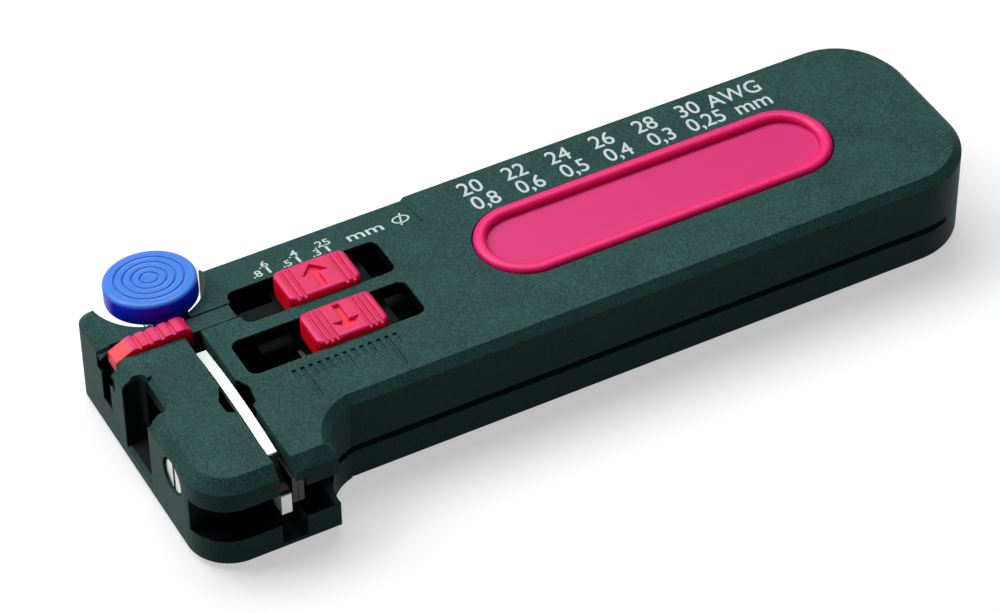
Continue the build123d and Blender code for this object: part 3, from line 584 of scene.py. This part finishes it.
class STRIPPER_OT_button_spring(bpy.types.Operator):
    """Wind the coil spring under the button"""

    bl_idname = "stripper.button_spring"
    bl_label = "Wind button spring"

    def execute(self, context):
        low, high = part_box("return_spring")
        middle = ((low.x + high.x) / 2, (low.y + high.y) / 2)
        radius = (high.x - low.x) / 2 - spring_wire_radius
        z_span = (low.z + spring_wire_radius, high.z - spring_wire_radius)
        points, faces = coil(middle, *z_span, radius, spring_wire_radius, spring_turns)
        drawn = steel_finish("spring_steel", wire_colour, 0.32, even, 0.2)
        spring = new_piece("button_spring", points, faces, drawn)
        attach(spring, "housing")
        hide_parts("return_spring")
        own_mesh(spring)
        return {"FINISHED"}


def handle_height(y):
    """The handle's flat top."""
    return 0 * y + top_z


def band_height_at(y):
    """The sloping scale band, falling from its inner edge to the button side."""
    return top_z - band_edge_drop - (y - band_edge_y) * band_slope


class STRIPPER_OT_handle_scale(bpy.types.Operator):
    """Print the two rows of wire sizes on the handle"""

    bl_idname = "stripper.handle_scale"
    bl_label = "Print handle scale"

    def execute(self, context):
        print_settings = context.scene.stripper_print
        height, pitch = print_settings.digit_height, print_settings.column_pitch
        parts = []
        for column, gauge in enumerate(range(20, 31, 2)):
            parts.append(letters(str(gauge), height, gauge_start_x + column * pitch, gauge_row_y, 0.95))
        parts.append(letters("AWG", height, *gauge_unit_place, 0.92))
        for column, size in enumerate(("0,8", "0,6", "0,5", "0,4", "0,3", "0,25")):
            shift = long_size_shift if len(size) > 3 else 0.0
            x = size_start_x + column * pitch * size_pitch_share + shift
            parts.append(letters(size, height, x, size_row_y, 0.92))
        parts.append(letters(print_settings.units, height, size_unit_x, size_row_y))
        points, faces = joined(parts)
        ink = ink_finish(print_settings.ink)
        scale = new_piece("handle_scale_print", laid_on(points, handle_height), faces, ink)
        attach(scale, "housing")
        return {"FINISHED"}


class STRIPPER_OT_size_scale(bpy.types.Operator):
    """Print the wire size scale on the sloping band"""

    bl_idname = "stripper.size_scale"
    bl_label = "Print size scale"

    def execute(self, context):
        print_settings = context.scene.stripper_print
        height = print_settings.band_height
        parts = []
        for place, (inner, outer) in enumerate(((".8", ".6"), (".5", ".4"), (".3", ".25"))):
            x = tick_start_x + place * tick_pitch
            parts.append(bar(x, *tick_span, tick_width))
            parts.append(letters(inner, height, x - inner_number_shift, inner_number_y))
            parts.append(letters(outer, height, x - outer_number_shift, outer_number_y))
        parts.append(letters(print_settings.units, height * 1.35, *band_unit_place, 1.25))
        parts.append(ring(diameter_sign_x, diameter_sign_y, *sign_radii, sign_stroke))
        slash, slash_faces = bar(diameter_sign_x, *slash_span, sign_stroke)
        slash[:, 0] += (slash[:, 1] - diameter_sign_y) * slash_lean
        parts.append((slash, slash_faces))
        points, faces = joined(parts)
        ink = bpy.data.materials["scale_ink"]
        scale = new_piece("size_scale_print", laid_on(points, band_height_at), faces, ink)
        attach(scale, "housing")
        return {"FINISHED"}


def add_light(name, place, size, power):
    """A square white area light at a place, turned towards the origin."""
    lamp = bpy.data.lights.new(name, "AREA")
    lamp.size = size
    lamp.energy = power
    holder = bpy.data.objects.new(name, lamp)
    holder.location = place
    holder.rotation_euler = (-Vector(place)).to_track_quat("-Z", "Y").to_euler()
    bpy.context.scene.collection.objects.link(holder)


class STRIPPER_OT_stage(bpy.types.Operator):
    """Set up the floor, lights and camera"""

    bl_idname = "stripper.stage"
    bl_label = "Set the stage"

    def execute(self, context):
        stage = context.scene.stripper_stage
        reach = np.linspace(-floor_reach, floor_reach, floor_points)
        x, y = np.meshgrid(reach, reach, indexing="ij")
        points = np.stack([x, y, 0 * x - floor_drop], axis=-1).reshape(-1, 3)
        mesh = bpy.data.meshes.new("floor")
        mesh.from_pydata(points.tolist(), [], grid_faces(floor_points, floor_points).tolist())
        floor = bpy.data.objects.new("floor", mesh)
        context.scene.collection.objects.link(floor)
        mesh.materials.append(floor_finish((0.5, 0.5, 0.5)))
        floor.visible_diffuse = False

        world = bpy.data.worlds.new("studio")
        world.use_nodes = True
        world.node_tree.nodes["Background"].inputs["Color"].default_value = white
        world.node_tree.nodes["Background"].inputs["Strength"].default_value = world_strength
        context.scene.world = world
        context.scene.view_settings.view_transform = "Standard"

        azimuth, elevation = stage.azimuth, stage.elevation
        flat = math.cos(elevation)
        away = Vector((math.sin(azimuth) * flat, -math.cos(azimuth) * flat, math.sin(elevation)))
        add_light("rear_left_light", rear_left_place, rear_left_size, stage.key_power)
        add_light("overhead_light", overhead_place, overhead_size, stage.key_power)
        front_place = away * front_distance + Vector(front_shift)
        add_light("front_light", front_place, front_size, stage.fill_power)

        right = away.cross(Vector((0, 0, -1))).normalized()
        above = away.cross(right)
        turn, tilt = math.cos(stage.roll), math.sin(stage.roll)
        rolled_right = right * turn + above * tilt
        rolled_above = above * turn - right * tilt
        target = Vector(camera_target) * mm
        lens = bpy.data.cameras.new("camera")
        lens.sensor_width = sensor_width
        lens.lens = stage.lens
        lens.clip_start = nearest_view
        camera = bpy.data.objects.new("camera", lens)
        axes = Matrix((rolled_right, rolled_above, away)).transposed()
        camera.matrix_world = Matrix.Translation(target + away * stage.distance) @ axes.to_4x4()
        context.scene.collection.objects.link(camera)
        context.scene.camera = camera
        return {"FINISHED"}


class STRIPPER_PT_sidebar(bpy.types.Panel):
    """Sidebar panel with every step of the model's looks"""

    bl_label = "Wire Stripper"
    bl_idname = "STRIPPER_PT_sidebar"
    bl_space_type = "VIEW_3D"
    bl_region_type = "UI"
    bl_category = "Stripper"

    def draw(self, context):
        for operator in operators:
            self.layout.operator(operator.bl_idname)
        for group in ("stripper_finish", "stripper_print", "stripper_stage"):
            settings = getattr(context.scene, group)
            for name in settings.bl_rna.properties.keys():
                if name not in ("rna_type", "name"):
                    self.layout.prop(settings, name)


operators = (
    STRIPPER_OT_plastics,
    STRIPPER_OT_metals,
    STRIPPER_OT_button_spring,
    STRIPPER_OT_handle_scale,
    STRIPPER_OT_size_scale,
    STRIPPER_OT_stage,
)
classes = (FinishSettings, PrintSettings, StageSettings, *operators, STRIPPER_PT_sidebar)


def register():
    """Adds the add-on's classes and settings."""
    for cls in classes:
        bpy.utils.register_class(cls)
    bpy.types.Scene.stripper_finish = PointerProperty(type=FinishSettings)
    bpy.types.Scene.stripper_print = PointerProperty(type=PrintSettings)
    bpy.types.Scene.stripper_stage = PointerProperty(type=StageSettings)


def unregister():
    """Takes the add-on's classes and settings away."""
    del bpy.types.Scene.stripper_finish
    del bpy.types.Scene.stripper_print
    del bpy.types.Scene.stripper_stage
    for cls in reversed(classes):
        bpy.utils.unregister_class(cls)


def main():
    register()
    bpy.ops.stripper.plastics()
    bpy.ops.stripper.metals()
    bpy.ops.stripper.button_spring()
    bpy.ops.stripper.handle_scale()
    bpy.ops.stripper.size_scale()
    bpy.ops.stripper.stage()


if __name__ == "__main__":
    main()
